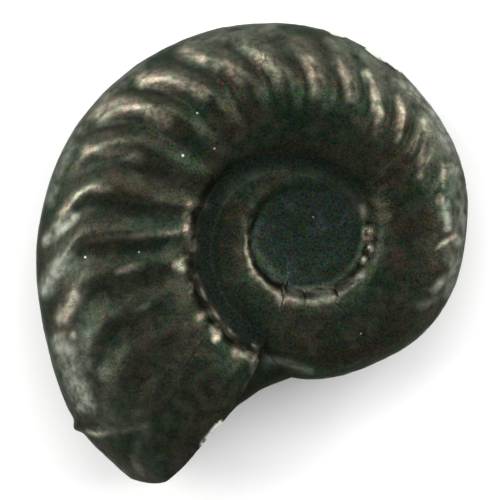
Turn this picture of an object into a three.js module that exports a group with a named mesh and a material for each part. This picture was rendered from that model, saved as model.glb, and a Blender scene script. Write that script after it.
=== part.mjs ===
// Polymorphites, a small ribbed ammonite: a pyrite fossil in one piece, lying on its side.
// Millimetres, +Z up. The origin is on the surface it lies on, below the middle of its outline.
// The shell is worked out about its coiling axis, with its middle plane at z = 0. Angles are in
// degrees, anticlockwise seen from above, with 0 along +X. The shell grew that way round, so an
// angle one turn less is the same place on the whorl before. Radii are from the coiling axis.

import * as THREE from 'three';
import { ParametricGeometry } from 'three/addons/geometries/ParametricGeometry.js';
import { mergeGeometries, mergeVertices } from 'three/addons/utils/BufferGeometryUtils.js';

const TURN = 360;

// The last whorl: where it starts at the break behind the mouth, and where its seam ends.
const WHORL_START = -110;
const WHORL_END = WHORL_START + TURN;
// Inner seam of this whorl and the one before, and outer edge of this one, which is so many
// times that of the whorl before.
const SEAM_RADIUS = [
  [WHORL_START - TURN, 1.3], [-380, 1.9], [-290, 2.3], [-190, 2.55], [WHORL_START, 2.8],
  [-60, 3.05], [0, 3.4], [60, 3.6], [90, 3.9], [120, 4.5], [180, 5.4], [WHORL_END, 6.1],
];
const WHORL_GROWTH = 2.18;
const VENTER_AT_START = 7.35;
const VENTER_RADIUS = [
  [WHORL_START, VENTER_AT_START], [-90, 7.66], [-60, 7.9], [-40, 8.38], [-20, 8.72], [0, 8.96],
  [20, 9.47], [40, 9.91], [60, 10.49], [80, 11.2], [120, 12.43], [150, 13.46], [180, 14.24],
  [200, 14.78], [220, 15.76], [230, 15.9], [WHORL_END, VENTER_AT_START * WHORL_GROWTH],
];

// The tube's cross-section, by shares of the way from the seam across the flank to the venter.
const BREADTH_TO_HEIGHT = 0.8;
const WIDEST_AT = 0.44;
const WALL_CURVE = { outward: 3.2, sharpness: 0.55 };
const VENTER_CURVE = { outward: 2.3, sharpness: 0.5 };

// Fill hides the first whorls, is a little lower in the middle, and thins out over these angles.
const FILL_THINS = [WHORL_START - TURN, -385];
const FILL_REACH = 4.2;
const FILL_HEIGHT = 0.9;
const FILL_MIDDLE_HEIGHT = 0.72;

// Ribs: the angle of each crest on the middle of the flank, their height above the hollows, and
// the share of it that they have at the seam, from which they grow outwards.
const RIB_ANGLES = [
  -38, -31, -24, -17, -10, -4, 2, 10, 17, 28, 37, 46, 58, 69, 83, 96, 110, 124, 137, 151, 164,
  177, 190, 203, 216, 228, 241, 254,
];
const RIB_HEIGHT = [
  [WHORL_START, 0], [-30, 0], [10, 0.1], [25, 0.22], [40, 0.42], [130, 0.5], [170, 0.38],
  [224, 0.34], [233, 0], [WHORL_END, 0],
];
const RIB_AT_SEAM = [[WHORL_START, 0.2], [60, 0.1], [130, 0.12], [165, 0.4], [WHORL_END, 0.5]];
const RIB_GROWS_OVER = [0.18, 0.7];
const RIB_LEAN = { angle: 13, from: 0.55, bend: 1.3, grown: [WHORL_START, -60] };
const RIB_FADE = [0.84, 1.0];
const RIB_LOWERS_BELOW = 0.67;

// The broken end: how far its edge falls back from the seam to the venter and at its corner, the
// spur left behind it on the first column, the ridge where the last of the shell stops, the depth
// lost beyond it, how hollow the broken face is and how its edge is rounded, off the seam.
const END_FALLS_BACK = { angle: 24.5, bend: 2.6, over: 50 };
const END_CORNER = { angle: 4, from: 0.89 };
const SPUR_REACH = { angle: 16, over: 30, from: 0.78 };
const LAST_RIDGE = [229, 231.5];
const LOST_LAYER = 0.22;
const END_HOLLOW = 0.75;
const END_ROUNDING = { from: 239, share: 0.22 };
const OFF_SEAM = 0.2;

// How it lies: it leans towards its small side, and is worn flat where it touches.
const LEAN_ABOUT_X = -2.0;
const LEAN_ABOUT_Y = 2.1;
const WORN_DEPTH = 0.18;

// Mesh lines: columns up to each angle, and rows as shares of the way over the part of a flank
// that the next whorl would cover and over the rest of it. Rows stand close where it curves.
const COLUMNS = [[20, 22], [226, 84], [WHORL_END, 12]];
const COVERED_ROWS = [0, 0.05, 0.13, 0.28, 0.5, 0.75, 1];
const OPEN_ROWS = [0, 0.36, 0.66, 0.86, 0.965, 1];
const END_ROWS = 4;
const FINEST_STEP = 0.0005;

const COLUMN_COUNT = COLUMNS.reduce((sum, [, count]) => sum + count, 0);
const COVERED = COVERED_ROWS.length - 1;
const VENTER_ROW = COVERED + OPEN_ROWS.length - 1;

const PYRITE = new THREE.MeshStandardMaterial({ color: 0x4a4c42, roughness: 0.42, metalness: 0.6 });

// A law through a list of [angle, value] pairs: smooth, or with straight stretches.
function lawThrough(pairs, Interpolant = THREE.CubicInterpolant) {
  const angles = pairs.map(([angle]) => angle);
  const values = pairs.map(([, value]) => value);
  const curve = new Interpolant(angles, values, 1);
  const [first, last] = [angles[0], angles[angles.length - 1]];
  return (angle) => curve.evaluate(THREE.MathUtils.clamp(angle, first, last))[0];
}

const lastVenter = lawThrough(VENTER_RADIUS);
const seamAt = lawThrough(SEAM_RADIUS);
const COVER_GROWTH = seamAt(WHORL_END) / seamAt(WHORL_START);
const ribHeight = lawThrough(RIB_HEIGHT, THREE.LinearInterpolant);
const ribAtSeam = lawThrough(RIB_AT_SEAM, THREE.LinearInterpolant);
const ribCount = lawThrough(RIB_ANGLES.map((angle, index) => [angle, index]), THREE.LinearInterpolant);

function venterAt(angle) {
  return angle < WHORL_START ? lastVenter(angle + TURN) / WHORL_GROWTH : lastVenter(angle);
}

// How far forward the ribs and growth lines have swung, by the outer part of the flank.
function leanAt(angle, share) {
  const { angle: most, from, bend, grown } = RIB_LEAN;
  const swing = Math.pow(Math.max(0, share - from) / (1 - from), bend);
  return most * swing * THREE.MathUtils.smoothstep(angle, ...grown);
}

function ribRelief(angle, share) {
  const crest = 0.5 + 0.5 * Math.cos(2 * Math.PI * ribCount(angle - leanAt(angle, share)));
  const growth = THREE.MathUtils.smoothstep(share, ...RIB_GROWS_OVER);
  const grown = THREE.MathUtils.lerp(ribAtSeam(angle), 1, growth);
  const fade = 1 - THREE.MathUtils.smoothstep(share, ...RIB_FADE);
  return ribHeight(angle) * grown * fade * (crest - 0.5);
}

function fillHeight(radius) {
  if (radius > FILL_REACH) return 0;
  return THREE.MathUtils.lerp(FILL_MIDDLE_HEIGHT, FILL_HEIGHT, radius / FILL_REACH);
}

// A quarter of a rounded curve, from 0 at its foot to 1 at its top.
function rounded(share, { outward, sharpness }) {
  return Math.pow(1 - Math.pow(1 - share, outward), sharpness);
}

// The higher of flank and fill, but only the fill where the first of the flank is hidden in it.
function aboveFill(angle, radius, flank) {
  const fill = fillHeight(radius);
  return fill + Math.max(0, flank - fill) * THREE.MathUtils.smoothstep(angle, ...FILL_THINS);
}

// Half the shell's breadth at a radius, on the whorl that has this angle.
function flankHeight(angle, radius) {
  if (angle < WHORL_START - TURN) return fillHeight(radius);
  const seam = seamAt(angle);
  const whorlHeight = venterAt(angle) - seam;
  const share = THREE.MathUtils.clamp((radius - seam) / whorlHeight, 0, 1);
  const halfBreadth = 0.5 * BREADTH_TO_HEIGHT * whorlHeight;
  const relief = angle > WHORL_START ? ribRelief(angle, share) : 0;
  if (share > WIDEST_AT) {
    const fall = rounded((1 - share) / (1 - WIDEST_AT), VENTER_CURVE);
    const lowered = relief * Math.min(1, fall / RIB_LOWERS_BELOW);
    return aboveFill(angle, radius, halfBreadth * fall + lowered);
  }
  const foot = flankHeight(angle - TURN, seam);
  const climb = rounded(share / WIDEST_AT, WALL_CURVE);
  return aboveFill(angle, radius, foot + (halfBreadth - foot) * climb + relief * climb);
}

// How far a mesh column is turned at a row: it runs with the ribs, but the last one follows the
// broken edge and the first one leaves the spur behind it.
function columnTurn(angle, share) {
  if (angle < WHORL_START) return 0;
  const { angle: back, bend, over } = END_FALLS_BACK;
  const atCorner = Math.max(0, share - END_CORNER.from) / (1 - END_CORNER.from);
  const nearEnd = THREE.MathUtils.smoothstep(angle, WHORL_END - over, WHORL_END);
  const nearStart = 1 - THREE.MathUtils.smoothstep(angle, WHORL_START, WHORL_START + SPUR_REACH.over);
  const onSpur = THREE.MathUtils.smoothstep(share, SPUR_REACH.from, 1);
  const forward = leanAt(angle, share) + SPUR_REACH.angle * nearStart * onSpur;
  return forward - nearEnd * (back * Math.pow(share, bend) + END_CORNER.angle * atCorner ** 2);
}

// The angle of a mesh column of the last whorl.
function columnAngle(column) {
  let left = column;
  let from = WHORL_START;
  for (const [to, count] of COLUMNS) {
    if (left <= count) return from + (to - from) * left / count;
    left -= count;
    from = to;
  }
  return WHORL_END;
}

// The share of a mesh row: the first rows lie where the next whorl covers the flank, or would.
function rowShare(angle, row) {
  const seam = seamAt(angle);
  const cover = angle < WHORL_START ? seamAt(angle + TURN) : seam * COVER_GROWTH;
  const coverShare = (cover - seam) / (venterAt(angle) - seam);
  if (row <= COVERED) return coverShare * COVERED_ROWS[row];
  return THREE.MathUtils.lerp(coverShare, 1, OPEN_ROWS[row - COVERED]);
}

// Rounds a point's place, so that sheets that meet share their points exactly.
function settle(point) {
  return point.divideScalar(FINEST_STEP).round().multiplyScalar(FINEST_STEP);
}

// Sets a point on the surface: angle and row of the mesh, on the upper side or the lower.
function setOnShell(point, angle, row, side) {
  const share = rowShare(angle, row);
  const turned = angle + columnTurn(angle, share);
  const radius = THREE.MathUtils.lerp(seamAt(turned), venterAt(turned), share);
  const offSeam = Math.min(1, share / OFF_SEAM);
  const atEnd = THREE.MathUtils.smoothstep(angle, END_ROUNDING.from, WHORL_END) * offSeam;
  const lost = LOST_LAYER * offSeam * THREE.MathUtils.smoothstep(turned, ...LAST_RIDGE);
  const intact = row === VENTER_ROW ? 0 : flankHeight(turned, radius) - lost;
  const height = intact * (1 - END_ROUNDING.share * atEnd * atEnd);
  const radians = THREE.MathUtils.degToRad(turned);
  return settle(point.set(radius * Math.cos(radians), radius * Math.sin(radians), side * height));
}

// A point of the last whorl, whose rows run from the upper seam over the venter to the lower.
function lastWhorlPoint(across, around, point) {
  const step = Math.round(across * 2 * VENTER_ROW);
  const row = VENTER_ROW - Math.abs(VENTER_ROW - step);
  const column = Math.round(around * COLUMN_COUNT);
  setOnShell(point, columnAngle(column), row, Math.sign(VENTER_ROW - step));
}

// The flank of the whorl before, as far as the last whorl leaves it open, on one side.
function earlierFlankPoint(side) {
  return (across, around, point) => {
    const row = Math.round((side > 0 ? across : 1 - across) * COVERED);
    setOnShell(point, columnAngle(Math.round(around * COLUMN_COUNT)) - TURN, row, side);
  };
}

// The filled middle on one side: a fan to the seam, opened at its last column, where it meets
// the first column of the flank around it.
function middlePoint(side) {
  return (across, around, point) => {
    const step = Math.round((side > 0 ? across : 1 - across) * (COVERED + 1));
    const column = Math.round(around * COLUMN_COUNT);
    if (step === 0) point.set(0, 0, side * FILL_MIDDLE_HEIGHT);
    else if (column < COLUMN_COUNT) setOnShell(point, columnAngle(column) - TURN, 0, side);
    else setOnShell(point, WHORL_START - TURN, step - 1, side);
  };
}

// The broken end: a face from the last column of the whorl to the venter of the whorl before.
function brokenEndPoint() {
  const inner = new THREE.Vector3();
  const forward = new THREE.Vector3();
  return (across, inward, point) => {
    const step = Math.round(across * 2 * VENTER_ROW) - VENTER_ROW;
    const row = VENTER_ROW - Math.abs(step);
    setOnShell(point, WHORL_END, row, -Math.sign(step));
    const innerRow = Math.round(THREE.MathUtils.lerp(COVERED, VENTER_ROW, row / VENTER_ROW));
    setOnShell(inner, WHORL_START, innerRow, -Math.sign(step));
    point.lerp(inner, inward);
    const hollow = END_HOLLOW * Math.sin(Math.PI * inward ** 2) * row / VENTER_ROW;
    point.add(forward.set(point.y, -point.x, 0).normalize().multiplyScalar(hollow));
  };
}

function sheet(pointOn, across, along) {
  const surface = new ParametricGeometry(pointOn, across, along);
  surface.deleteAttribute('normal');
  surface.deleteAttribute('uv');
  return surface;
}

function shellSurface() {
  const sheets = [sheet(lastWhorlPoint, 2 * VENTER_ROW, COLUMN_COUNT)];
  for (const side of [1, -1]) {
    sheets.push(sheet(earlierFlankPoint(side), COVERED, COLUMN_COUNT));
    sheets.push(sheet(middlePoint(side), COVERED + 1, COLUMN_COUNT));
  }
  sheets.push(sheet(brokenEndPoint(), 2 * VENTER_ROW, END_ROWS));
  return mergeVertices(mergeGeometries(sheets), FINEST_STEP / 5);
}

// Turns the shell to how it lies, sets it on the surface and wears flat what would go below.
function layDown(surface) {
  surface.rotateX(THREE.MathUtils.degToRad(LEAN_ABOUT_X));
  surface.rotateY(THREE.MathUtils.degToRad(LEAN_ABOUT_Y));
  surface.computeBoundingBox();
  const { min, max } = surface.boundingBox;
  surface.translate(-(min.x + max.x) / 2, -(min.y + max.y) / 2, -min.z - WORN_DEPTH);
  const places = surface.getAttribute('position');
  for (let index = 0; index < places.count; index += 1) {
    places.setZ(index, Math.max(places.getZ(index), 0));
  }
  return surface;
}

function ammonite() {
  const mesh = new THREE.Mesh(layDown(shellSurface()), PYRITE);
  mesh.name = 'ammonite';
  return mesh;
}

const fossil = new THREE.Group();
fossil.add(ammonite());

export default fossil;
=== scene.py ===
"""The looks of a small ribbed ammonite: a pyrite fossil in one piece, lying on its side.

The shell is worked out in millimetres about its coiling axis, with its middle plane at z = 0.
Angles are in degrees, anticlockwise seen from above, with 0 along +X. The shell grew that way
round, so an angle one turn less is the same place on the whorl before. The finished mesh is
laid down as the solid is, and given in metres.
"""

import logging
import math
from collections.abc import Callable
from dataclasses import dataclass, field
from enum import Enum

import bmesh
import bpy
import numpy as np
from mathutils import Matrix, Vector


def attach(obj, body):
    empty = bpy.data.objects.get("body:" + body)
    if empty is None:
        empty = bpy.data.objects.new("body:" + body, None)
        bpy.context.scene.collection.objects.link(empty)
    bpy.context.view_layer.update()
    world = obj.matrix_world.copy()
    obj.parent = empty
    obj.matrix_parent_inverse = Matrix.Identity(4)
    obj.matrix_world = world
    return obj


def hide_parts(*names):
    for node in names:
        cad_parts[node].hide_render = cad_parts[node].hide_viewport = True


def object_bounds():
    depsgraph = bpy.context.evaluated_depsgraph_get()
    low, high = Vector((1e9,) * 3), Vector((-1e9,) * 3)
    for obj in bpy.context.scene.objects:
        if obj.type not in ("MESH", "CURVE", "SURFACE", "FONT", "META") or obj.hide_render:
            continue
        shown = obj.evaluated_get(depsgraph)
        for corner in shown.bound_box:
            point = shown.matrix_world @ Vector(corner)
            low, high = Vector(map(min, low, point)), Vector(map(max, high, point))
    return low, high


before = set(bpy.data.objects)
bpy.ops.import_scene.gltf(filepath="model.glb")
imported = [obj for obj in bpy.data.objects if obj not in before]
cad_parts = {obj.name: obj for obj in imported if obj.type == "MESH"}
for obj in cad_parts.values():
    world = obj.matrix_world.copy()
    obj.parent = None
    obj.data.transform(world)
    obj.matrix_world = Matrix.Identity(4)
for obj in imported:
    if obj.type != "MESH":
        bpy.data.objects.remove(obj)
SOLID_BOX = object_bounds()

log = logging.getLogger("ammonite")
Array = np.ndarray
Facts = dict[str, Array]
Points = tuple[Array, Facts]
Place = Callable[[Array, Array], Points]
Colour = tuple[float, float, float]
Stretch = tuple[float, float]
Band = tuple[Stretch, Stretch]
Socket = bpy.types.NodeSocket
Value = Socket | float | Colour

BODY = "root"
NODE = "ammonite"
METRES = 0.001
TURN = 360.0

# The photograph: its frame in pixels, the pixel above the origin, and millimetres to a pixel.
PHOTO_SIZE = (499, 500)
PHOTO_ORIGIN = (252.5, 252.0)
PIXEL = 0.054


class Side(Enum):
    """The two flanks of the shell."""

    UPPER = 1
    LOWER = -1


def from_photo(pixel_x: float, pixel_y: float) -> tuple[float, float]:
    """The place, in millimetres in the part's frame, that a pixel of the photograph shows."""
    return (pixel_x - PHOTO_ORIGIN[0]) * PIXEL, (PHOTO_ORIGIN[1] - pixel_y) * PIXEL


def smoothstep(value: Array, low: float, high: float) -> Array:
    """A smooth rise from 0 at low to 1 at high."""
    share = np.clip((value - low) / (high - low), 0.0, 1.0)
    return share * share * (3.0 - 2.0 * share)


def greater(one: Array, other: Array, blend: Array) -> Array:
    """The greater of two heights, with a fillet of that size where they meet."""
    near = np.clip(1.0 - np.abs(one - other) / np.maximum(blend, 1e-6), 0.0, 1.0)
    return np.maximum(one, other) + 0.25 * blend * near**2


def hump(distance: Array, width: Array) -> Array:
    """A smooth hump, 1 at no distance and near nothing at two widths."""
    return np.exp(-np.square(distance / width))


def band(value: Array, rise: Stretch, fall: Stretch) -> Array:
    """A smooth band: from 0 it rises to 1 over one stretch and falls again over the other."""
    return smoothstep(value, *rise) * (1.0 - smoothstep(value, *fall))


@dataclass(frozen=True)
class Law:
    """A curve through pairs of a place and a value, smooth or with straight stretches."""

    pairs: tuple[tuple[float, float], ...]
    straight: bool = False

    def at(self, place: Array) -> Array:
        """The value at each place, held past the first and last pair.

        Args:
            place: Places along the curve.

        Returns:
            One value for each place.
        """
        knots, values = (np.array(column, float) for column in zip(*self.pairs))
        place = np.clip(place, knots[0], knots[-1])
        if self.straight:
            return np.interp(place, knots, values)
        secants = np.diff(values) / np.diff(knots)
        slopes = np.concatenate([[0.0], (secants[1:] + secants[:-1]) / 2.0, [0.0]])
        index = np.clip(np.searchsorted(knots, place, "right") - 1, 0, len(knots) - 2)
        step = knots[index + 1] - knots[index]
        share = (place - knots[index]) / step
        squared, cubed = share**2, share**3
        return (
            (2 * cubed - 3 * squared + 1) * values[index]
            + (3 * squared - 2 * cubed) * values[index + 1]
            + (cubed - 2 * squared + share) * step * slopes[index]
            + (cubed - squared) * step * slopes[index + 1]
        )


class Grain:
    """Smooth seeded unevenness through space, the same on every run."""

    CELLS = 48
    OCTAVE_SHIFT = 7.3

    def __init__(self, seed: int) -> None:
        """Draws the values at the corners of the cells.

        Args:
            seed: Which unevenness this is.
        """
        self.corners = np.random.default_rng(seed).uniform(-1.0, 1.0, (self.CELLS,) * 3)

    def at(self, places: Array, size: float) -> Array:
        """The unevenness at places, from about -1 to 1.

        Args:
            places: Points, in millimetres.
            size: Width of a grain, in millimetres.

        Returns:
            One value for each point.
        """
        scaled = places / size
        low = np.floor(scaled).astype(int)
        part = scaled - low
        part = part * part * (3.0 - 2.0 * part)
        total = np.zeros(len(places))
        for corner in np.ndindex(2, 2, 2):
            weight = np.prod(np.where(corner, part, 1.0 - part), axis=1)
            cell = (low + corner) % self.CELLS
            total += weight * self.corners[cell[:, 0], cell[:, 1], cell[:, 2]]
        return total

    def rough(self, places: Array, size: float, octaves: int) -> Array:
        """Unevenness with finer and fainter grain on it.

        Args:
            places: Points, in millimetres.
            size: Width of the coarsest grain, in millimetres.
            octaves: How many sizes of grain there are, each half the one before.

        Returns:
            One value for each point.
        """
        shift = self.OCTAVE_SHIFT
        return sum(self.at(places + shift * n, size / 2**n) / 2**n for n in range(octaves))


@dataclass(frozen=True)
class Mottle:
    """How unevenness makes a relief or a finish stronger and weaker from place to place."""

    middle: float
    spread: float
    size: float
    octaves: int = 1

    def at(self, grain: Grain, points: Array) -> Array:
        """The strength at each point."""
        return self.middle + self.spread * grain.rough(points, self.size, self.octaves)


@dataclass(frozen=True)
class Rounding:
    """A quarter of a rounded curve, from 0 at its foot to 1 at its top."""

    outward: float
    sharpness: float

    def at(self, share: Array) -> Array:
        """The height of the curve at each share of the way to its top."""
        return (1.0 - (1.0 - share) ** self.outward) ** self.sharpness


@dataclass(frozen=True)
class Coil:
    """The laws of the coiled shell: its seams, outer edge, cross-section and ribs."""

    start: float = -110.0
    end: float = 250.0
    seam: Law = Law(
        (
            (-470, 1.3), (-380, 1.9), (-290, 2.3), (-190, 2.55), (-110, 2.8), (-60, 3.05),
            (0, 3.4), (60, 3.6), (90, 3.9), (120, 4.5), (180, 5.4), (250, 6.1),
        )
    )
    growth: float = 2.18
    venter: Law = Law(
        (
            (-110, 7.35), (-90, 7.66), (-60, 7.9), (-40, 8.38), (-20, 8.72), (0, 8.96),
            (20, 9.47), (40, 9.91), (60, 10.49), (80, 11.2), (120, 12.43), (150, 13.46),
            (180, 14.24), (200, 14.78), (220, 15.76), (230, 15.9), (250, 16.023),
        )
    )
    breadth_to_height: float = 0.8
    widest_at: float = 0.44
    wall_curve: Rounding = Rounding(3.2, 0.55)
    gentle_wall: Rounding = Rounding(1.8, 1.0)
    wall_gentleness: Law = Law(
        ((-60, 0.0), (0, 0.0), (12, 0.3), (38, 1.0), (115, 1.0), (150, 0.35), (170, 0.0)), True
    )
    wall_foot: float = 0.1
    venter_curve: Rounding = Rounding(2.3, 0.5)
    fill_thins: Stretch = (-470.0, -340.0)
    fill_reach: float = 4.2
    fill_height: float = 0.9
    fill_middle_height: float = 0.72
    fill_fillet: float = 0.4
    rib_angles: tuple[float, ...] = (
        -38, -31, -24, -17, -10, -4, 2, 10, 17, 28, 37, 46, 58, 69, 83, 96, 110, 124, 137,
        151, 166, 179, 191, 202.5, 215, 227, 241, 254,
    )
    rib_height: Law = Law(
        (
            (-110, 0), (-30, 0), (10, 0.03), (25, 0.14), (40, 0.38), (130, 0.45), (152, 0.38),
            (172, 0.3), (186, 0.27), (203, 0.17), (224, 0.12), (233, 0.0), (250, 0.0),
        ),
        straight=True,
    )
    rib_sharpness: Law = Law(((-110, 1.0), (60, 1.0), (140, 0.9), (180, 1.2), (250, 1.2)))
    rib_start: Law = Law(((-110, 0.2), (60, 0.1), (130, 0.12), (165, 0.4), (250, 0.5)), True)
    rib_foot: Law = Law(((-110, 0.4), (45, 0.36), (80, 0.25), (120, 0.18), (250, 0.18)), True)
    rib_growth: float = 0.5
    rib_fade: float = 0.2
    ribs_lower_below: float = 0.67
    rib_stop: Law = Law(((-30, 0.84), (60, 0.86), (95, 0.9), (130, 0.98), (250, 1.0)), True)
    rib_lean: Law = Law(((140, 13.0), (168, 17.0), (192, 17.0), (212, 13.0)), True)
    lean_from: Law = Law(((138, 0.55), (168, 0.7), (192, 0.7), (212, 0.55)), True)
    lean_bend: float = 1.3
    break_line: Law = Law(
        (
            (6.5, 224.5), (8.05, 225.8), (9.83, 227.9), (11.61, 230.1), (12.74, 230.0),
            (14.47, 224.9), (15.12, 223.3), (16.0, 221.5),
        )
    )
    lost_layer: float = 0.13
    lost_from: Stretch = (6.9, 8.2)
    end_back: float = 24.5
    end_bend: float = 2.6
    end_over: float = 50.0
    corner_angle: float = 4.0
    corner_from: float = 0.89
    spur_angle: float = 16.0
    spur_over: float = 30.0
    end_hollow: float = 0.75
    rounded_from: float = 239.0
    rounded_share: float = 0.22
    mouth_from: float = 200.0
    leans_from: float = -60.0
    spur_shares: Stretch = (0.78, 1.0)
    ribs_end: Stretch = (-0.15, 0.1)
    layer_edge: Stretch = (-0.02, 0.16)
    layer_fade: float = 0.12
    seam_lead: float = 5.0

    def venter_at(self, angle: Array) -> Array:
        """Radius of the outer edge, on the last whorl or the one before."""
        before = self.venter.at(angle + TURN) / self.growth
        return np.where(angle < self.start, before, self.venter.at(angle))

    def lean_at(self, angle: Array, share: Array) -> Array:
        """How far forward the ribs have swung.

        Args:
            angle: Angles along the shell, in degrees.
            share: Shares of the way from the seam to the outer edge.

        Returns:
            The swing at each place, in degrees.
        """
        first = self.lean_from.at(angle)
        swing = (np.maximum(0.0, share - first) / (1.0 - first)) ** self.lean_bend
        return self.rib_lean.at(angle) * swing * smoothstep(angle, self.start, self.leans_from)

    def past_break(self, angle: Array, radius: Array) -> Array:
        """How far past the line where the last of the shell stops, in millimetres."""
        return np.radians(angle - self.break_line.at(radius)) * radius

    def rib_crest(self, angle: Array, share: Array) -> Array:
        """How near each place is to the crest of a rib.

        Args:
            angle: Angles along the shell, in degrees.
            share: Shares of the way from the seam to the outer edge.

        Returns:
            From 0 in a hollow to 1 on a crest.
        """
        upright = angle - self.lean_at(angle, share)
        count = np.interp(upright, self.rib_angles, np.arange(len(self.rib_angles)))
        return (0.5 + 0.5 * np.cos(2.0 * np.pi * count)) ** self.rib_sharpness.at(angle)

    def rib_relief(self, angle: Array, share: Array, radius: Array) -> Array:
        """Height that the ribs add to the flank, or take from it in the hollows.

        Args:
            angle: Angles along the shell, in degrees.
            share: Shares of the way from the seam to the outer edge.
            radius: Distances from the coiling axis.

        Returns:
            The height at each place, in millimetres.
        """
        start = self.rib_start.at(angle)
        foot = self.rib_foot.at(angle)
        grown = start + (1.0 - start) * smoothstep(share, foot, foot + self.rib_growth)
        stop = self.rib_stop.at(angle)
        fade = 1.0 - smoothstep(share, stop - self.rib_fade, stop)
        kept = 1.0 - smoothstep(self.past_break(angle, radius), *self.ribs_end)
        height = self.rib_height.at(angle) * grown * fade * kept
        return height * (self.rib_crest(angle, share) - 0.5)

    def fill_at(self, radius: Array) -> Array:
        """Half the thickness of the fill that hides the first whorls.

        Args:
            radius: Distances from the coiling axis.

        Returns:
            The height of the fill at each place, 0 outside it.
        """
        share = np.clip(radius / self.fill_reach, 0.0, 1.0)
        inside = self.fill_middle_height + (self.fill_height - self.fill_middle_height) * share
        return np.where(radius > self.fill_reach, 0.0, inside)

    def flank_height(self, angle: Array, radius: Array) -> Array:
        """Half the shell's breadth at a radius, on the whorl that has this angle.

        Args:
            angle: Angles along the shell, in degrees.
            radius: Distances from the coiling axis.

        Returns:
            The height above the middle plane for each place.
        """
        fill = self.fill_at(radius)
        first = angle < self.start - TURN
        if np.all(first):
            return fill
        seam = self.seam.at(angle)
        whorl_height = self.venter_at(angle) - seam
        share = np.clip((radius - seam) / whorl_height, 0.0, 1.0)
        half = 0.5 * self.breadth_to_height * whorl_height
        relief = np.where(angle > self.start, self.rib_relief(angle, share, radius), 0.0)
        fall_share = np.clip((1.0 - share) / (1.0 - self.widest_at), 0.0, 1.0)
        fall = self.venter_curve.at(fall_share)
        outer = half * fall + relief * np.minimum(1.0, fall / self.ribs_lower_below)
        foot = self.flank_height(angle - TURN, seam)
        way_up = np.clip(share / self.widest_at, 0.0, 1.0)
        steep = self.wall_curve.at(way_up) * smoothstep(share, 0.0, self.wall_foot)
        climb = steep + self.wall_gentleness.at(angle) * (self.gentle_wall.at(way_up) - steep)
        inner = foot + (half - foot) * climb + relief * climb
        flank = np.where(share > self.widest_at, outer, inner)
        above = greater(flank, fill, self.fill_fillet * climb) - fill
        return np.where(first, fill, fill + above * smoothstep(angle, *self.fill_thins))

    def column_turn(self, angle: Array, share: Array) -> Array:
        """How far a mesh column is turned, to run with the ribs and along the broken edge.

        Args:
            angle: Angle of each point's mesh column.
            share: Shares of the way from the seam to the outer edge.

        Returns:
            The turn at each place, in degrees.
        """
        near_end = smoothstep(angle, self.end - self.end_over, self.end)
        near_start = 1.0 - smoothstep(angle, self.start, self.start + self.spur_over)
        on_spur = smoothstep(share, *self.spur_shares)
        forward = self.lean_at(angle, share) + self.spur_angle * near_start * on_spur
        at_corner = np.maximum(0.0, share - self.corner_from) / (1.0 - self.corner_from)
        back = self.end_back * share**self.end_bend + self.corner_angle * at_corner**2
        return np.where(angle < self.start, 0.0, forward - near_end * back)

    def place(self, angle: Array, share: Array, side: Side) -> tuple[Array, Array]:
        """Points of the shell's surface, before it is laid down.

        Args:
            angle: Angle of each point's mesh column.
            share: Share of the way from the seam to the outer edge.
            side: The flank that the points are on.

        Returns:
            The points, and the angle that each one has along the shell.
        """
        turned = angle + self.column_turn(angle, share)
        seam = self.seam.at(turned)
        radius = seam + share * (self.venter_at(turned) - seam)
        off_seam = np.minimum(1.0, self.seam_lead * share)
        at_end = smoothstep(angle, self.rounded_from, self.end) * off_seam
        gone = smoothstep(self.past_break(turned, radius), *self.layer_edge)
        gone = gone * smoothstep(radius, *self.lost_from)
        gone = gone * smoothstep(1.0 - share, 0.0, self.layer_fade) * (turned > self.mouth_from)
        height = self.flank_height(turned, radius) - self.lost_layer * gone
        height = np.maximum(height, 0.0) * (1.0 - self.rounded_share * at_end**2)
        height = np.where(share >= 1.0, 0.0, height)
        radians = np.radians(turned)
        points = [radius * np.cos(radians), radius * np.sin(radians), side.value * height]
        return np.stack(points, axis=-1), turned


@dataclass(frozen=True)
class MeshLines:
    """How closely the mesh columns and rows of the shell stand."""

    columns: tuple[tuple[float, int], ...] = ((20.0, 136), (250.0, 384))
    upper_rows: tuple[int, int] = (22, 60)
    lower_rows: tuple[int, int] = (8, 26)
    covered_crowding: float = 1.5
    open_crowding: float = 1.6
    end_rows: int = 12

    def rows(self, side: Side) -> tuple[int, int]:
        """How many rows the covered part of a flank and the rest of it have."""
        return self.upper_rows if side is Side.UPPER else self.lower_rows

    def column_count(self) -> int:
        """How many columns go round a whorl."""
        return sum(count for _, count in self.columns)

    def column_angle(self, column: Array, coil: Coil) -> Array:
        """The angle of each mesh column of the last whorl.

        Args:
            column: Columns, counted from the start of the whorl.
            coil: The laws of the shell.

        Returns:
            Angles along the shell, in degrees.
        """
        counts = np.cumsum([0] + [count for _, count in self.columns])
        angles = [coil.start] + [angle for angle, _ in self.columns]
        return np.interp(column, counts, angles)

    def row_share(self, angle: Array, row: Array, side: Side, coil: Coil) -> Array:
        """The share of each row: the first rows lie where the next whorl covers the flank.

        Args:
            angle: Angle of each point's mesh column.
            row: Row of each point, counted from the seam.
            side: The flank that the points are on.
            coil: The laws of the shell.

        Returns:
            Shares of the way from the seam to the outer edge.
        """
        covered, open_rows = self.rows(side)
        seam = coil.seam.at(angle)
        ends = coil.seam.at(np.array([coil.start, coil.end]))
        cover = np.where(angle < coil.start, coil.seam.at(angle + TURN), seam * ends[1] / ends[0])
        cover_share = (cover - seam) / (coil.venter_at(angle) - seam)
        inner = cover_share * np.clip(row / covered, 0.0, 1.0) ** self.covered_crowding
        out = np.clip((row - covered) / open_rows, 0.0, 1.0)
        outer = cover_share + (1.0 - cover_share) * (1.0 - (1.0 - out) ** self.open_crowding)
        return np.where(row <= covered, inner, outer)


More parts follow.
